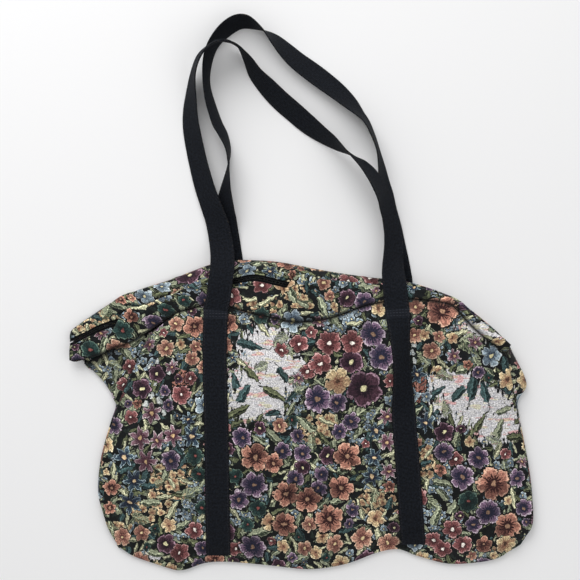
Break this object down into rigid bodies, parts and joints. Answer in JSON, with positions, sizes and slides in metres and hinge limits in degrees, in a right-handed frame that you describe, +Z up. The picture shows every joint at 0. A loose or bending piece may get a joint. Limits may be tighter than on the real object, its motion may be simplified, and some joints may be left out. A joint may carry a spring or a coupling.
{
  "type": "carpet bag",
  "caption": "Soft floral tapestry travel bag lying flat on its back, with long webbing handles sewn down its front and back and a closed zip along the top",
  "frame": {"origin": "on the floor, under the middle of the whole object, handles included", "axes": "+Y runs up the bag towards its handles, +X across it to the viewer's right, +Z up from the floor towards the bag's front"},
  "size_m": [0.5724, 0.6807, 0.0599],
  "materials": {
    "tapestry": "jacquard woven floral tapestry, matt",
    "webbing": "black ribbed webbing, matt with a little fuzz",
    "zip_tape": "black woven tape",
    "zip_coil": "black nylon coil",
    "zip_metal": "black enamelled metal"
  },
  "bodies": {
    "bag": {"front_panel": "tapestry", "back_panel": "tapestry", "left_end_panel": "tapestry", "right_end_panel": "tapestry", "front_top_strip": "tapestry", "back_top_strip": "tapestry", "front_webbing": "webbing", "back_webbing": "webbing", "front_zip_tape": "zip_tape", "back_zip_tape": "zip_tape", "front_zip_coil": "zip_coil", "back_zip_coil": "zip_coil", "zip_end_stop": "zip_metal", "zip_top_stops": "zip_metal"},
    "slider": {"zip_slider": "zip_metal"},
    "pull": {"zip_pull": "zip_metal"}
  },
  "joints": [
    {"name": "slider_slide", "type": "slide", "parent": "bag", "child": "slider", "axis": [-0.7765, 0.6301, 0], "range_m": [0, 0.044], "deforming": ["front_zip_coil", "back_zip_coil"]},
    {"name": "pull_swing", "type": "hinge", "parent": "slider", "child": "pull", "pos_m": [0.24615, -0.06543, 0.015], "axis": [0, 0, -1], "range_deg": [0, 160]}
  ]
}
